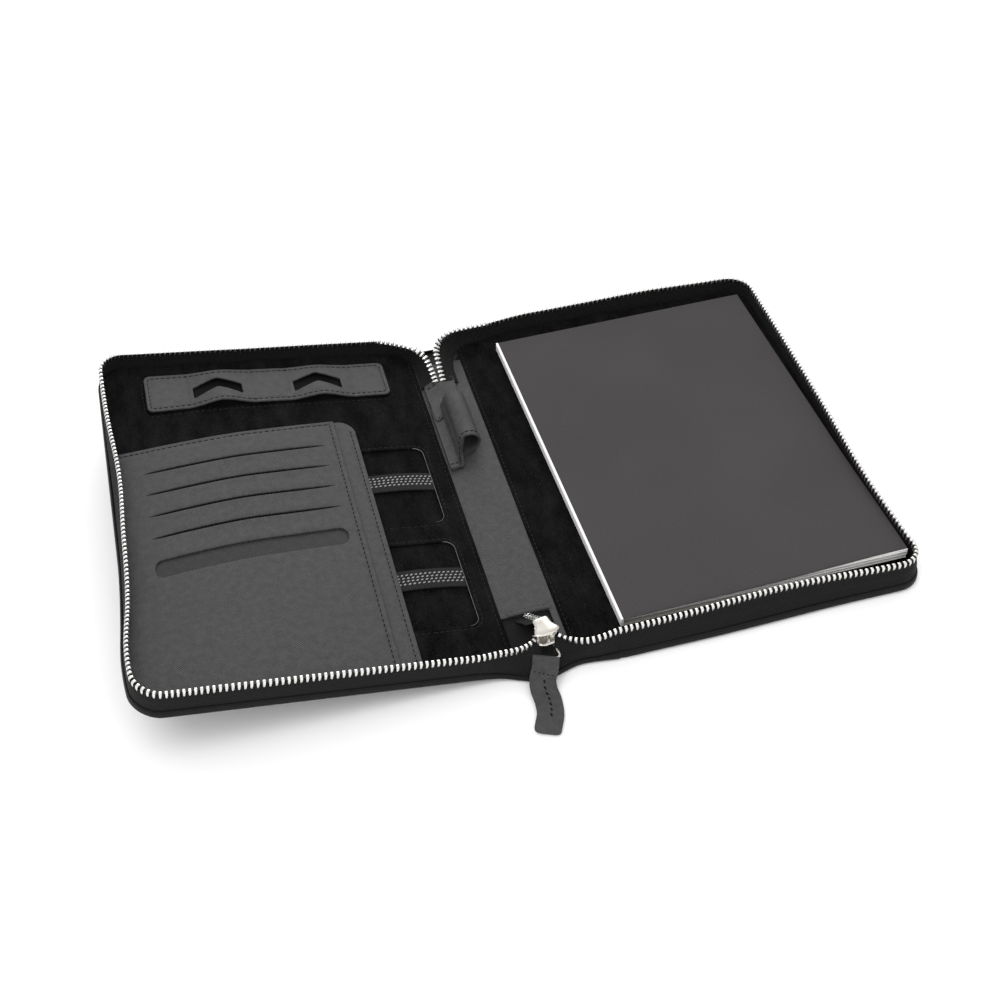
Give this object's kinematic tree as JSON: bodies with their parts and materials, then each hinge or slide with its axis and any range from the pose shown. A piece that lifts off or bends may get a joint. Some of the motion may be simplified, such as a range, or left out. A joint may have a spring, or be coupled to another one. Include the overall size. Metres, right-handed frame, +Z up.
{
  "type": "portfolio case",
  "caption": "Zip-round leather portfolio case lying open, with card pockets, elastic loops, a pen loop and a writing pad.",
  "frame": {"origin": "middle of the spine's underside, on the table", "axes": "+X across the spine to the pad half, +Y along the spine to the rear, away from the slider, +Z up"},
  "size_m": [0.3814, 0.2727, 0.0467],
  "materials": {
    "outer_leather": "black cross-grained leather, semi-matt",
    "saffiano_leather": "dark grey saffiano cross-grain, semi-matt",
    "suede": "black microfibre suede, short nap",
    "lining_cloth": "black lining cloth",
    "foam": "thin foam under the leather",
    "grey_board": "grey board",
    "zip_tape": "black herringbone zip tape",
    "zip_metal": "bright nickel teeth",
    "slider_metal": "satin nickel",
    "elastic": "woven elastic with rows of light grey stitches",
    "paper": "white paper edges",
    "pad_card": "plain dark grey card"
  },
  "bodies": {
    "spine": {"spine_cover": "outer_leather", "spine_board": "grey_board", "spine_lining": "saffiano_leather", "notch_trim": "saffiano_leather", "zip_web_front": "zip_tape", "zip_web_rear": "zip_tape", "zip_tail": "zip_metal", "zip_head": "zip_metal", "zip_end_patch": "saffiano_leather", "pen_loop": "saffiano_leather"},
    "pocket_half": {"left_cover": "outer_leather", "left_foam": "foam", "left_board": "grey_board", "left_lining": "suede", "left_binding": "outer_leather", "left_zip_tape": "zip_tape", "left_zip_teeth": "zip_metal", "window_panel": "suede", "elastic_rear": "elastic", "elastic_front": "elastic", "organiser_backing": "lining_cloth", "organiser_strip": "saffiano_leather", "slip_pocket": "saffiano_leather", "card_panel": "saffiano_leather", "card_liner_1": "lining_cloth", "card_liner_2": "lining_cloth", "card_liner_3": "lining_cloth", "card_liner_4": "lining_cloth", "note_liner": "outer_leather"},
    "pad_half": {"right_cover": "outer_leather", "right_foam": "foam", "right_board": "grey_board", "right_lining": "suede", "right_binding": "outer_leather", "right_zip_tape": "zip_tape", "right_zip_teeth": "zip_metal", "pad_sleeve": "suede"},
    "pad": {"pad_backing": "grey_board", "pad_binding": "paper", "pad_pages": "paper"},
    "pad_flap": {"pad_cover": "pad_card"},
    "slider": {"zip_slider": "slider_metal", "slider_lug": "slider_metal"},
    "ring": {"pull_ring": "slider_metal"},
    "tab": {"pull_tab": "saffiano_leather"}
  },
  "joints": [
    {"name": "left_fold", "type": "hinge", "parent": "spine", "child": "pocket_half", "pos_m": [-0.016, 0, 0.0006], "axis": [0, 1, 0], "range_deg": [-10, 80]},
    {"name": "right_fold", "type": "hinge", "parent": "spine", "child": "pad_half", "pos_m": [0.016, 0, 0.0006], "axis": [0, -1, 0], "range_deg": [0, 90]},
    {"name": "pad_slide", "type": "slide", "parent": "pad_half", "child": "pad", "axis": [1, 0, 0], "range_m": [-0.02, 0]},
    {"name": "pad_flip", "type": "hinge", "parent": "pad", "child": "pad_flap", "pos_m": [0.037, 0, 0.00975], "axis": [0, 1, 0], "range_deg": [-140, 0]},
    {"name": "zip_run", "type": "slide", "parent": "spine", "child": "slider", "axis": [0, 1, 0], "range_m": [-0.0025, 0.0015]},
    {"name": "ring_swing", "type": "hinge", "parent": "slider", "child": "ring", "pos_m": [0, -0.1099, 0.00905], "axis": [1, 0, 0], "range_deg": [-50, 0]},
    {"name": "tab_swing", "type": "hinge", "parent": "ring", "child": "tab", "pos_m": [0, -0.1197, 0.00905], "axis": [1, 0, 0], "range_deg": [-110, 0]}
  ]
}
